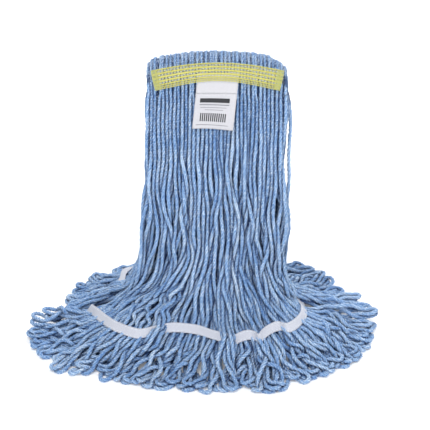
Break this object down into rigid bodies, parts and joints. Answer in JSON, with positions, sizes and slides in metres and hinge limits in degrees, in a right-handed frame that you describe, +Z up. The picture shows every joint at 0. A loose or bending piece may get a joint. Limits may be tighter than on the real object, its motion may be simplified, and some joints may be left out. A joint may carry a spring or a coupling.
{
  "type": "looped-end string mop head",
  "caption": "Looped-end wet mop head: cotton-blend yarn folded over a mesh headband, with a tail tape round the spread skirt and a hanging label.",
  "frame": {"origin": "on the floor, under the middle of the spread skirt's width and depth", "axes": "+Z up out of the fold, front with headband and label facing -Y, +X to the right along the fold"},
  "size_m": [0.472, 0.362, 0.376],
  "materials": {
    "yarn": "matte",
    "headband_mesh": "matte",
    "headband_thread": "matte",
    "label": "satin",
    "tail_tape": "matte",
    "tail_thread": "matte"
  },
  "bodies": {
    "head": {"crown_yarn": "yarn", "headband_outer": "headband_mesh", "headband_liner": "headband_mesh", "headband_hem_left": "headband_mesh", "headband_hem_right": "headband_mesh", "headband_stitch_row_1": "headband_thread", "headband_stitch_row_2": "headband_thread", "headband_stitch_row_3": "headband_thread", "headband_stitch_row_4": "headband_thread", "label_sewn_edge": "label"},
    "front_half": {"front_yarn_1": "yarn", "front_yarn_2": "yarn", "front_yarn_3": "yarn", "front_yarn_4": "yarn", "front_yarn_5": "yarn", "front_yarn_6": "yarn", "front_yarn_7": "yarn", "front_yarn_8": "yarn", "front_tail_tape_outer": "tail_tape", "front_tail_tape_inner": "tail_tape", "front_tail_stitching": "tail_thread"},
    "back_half": {"back_yarn_1": "yarn", "back_yarn_2": "yarn", "back_yarn_3": "yarn", "back_yarn_4": "yarn", "back_yarn_5": "yarn", "back_yarn_6": "yarn", "back_yarn_7": "yarn", "back_yarn_8": "yarn", "back_tail_tape_outer": "tail_tape", "back_tail_tape_inner": "tail_tape", "back_tail_stitching": "tail_thread"},
    "label": {"label": "label"}
  },
  "joints": [
    {"name": "front_half_swing", "type": "hinge", "parent": "head", "child": "front_half", "pos_m": [0.018, -0.0292, 0.3325], "axis": [-1, 0, 0], "range_deg": [0, 80]},
    {"name": "back_half_swing", "type": "hinge", "parent": "head", "child": "back_half", "pos_m": [0.018, 0.0292, 0.3325], "axis": [1, 0, 0], "range_deg": [0, 80]},
    {"name": "label_flap", "type": "hinge", "parent": "front_half", "child": "label", "pos_m": [0.018, -0.0299, 0.3325], "axis": [-1, 0, 0], "range_deg": [0, 75]}
  ]
}
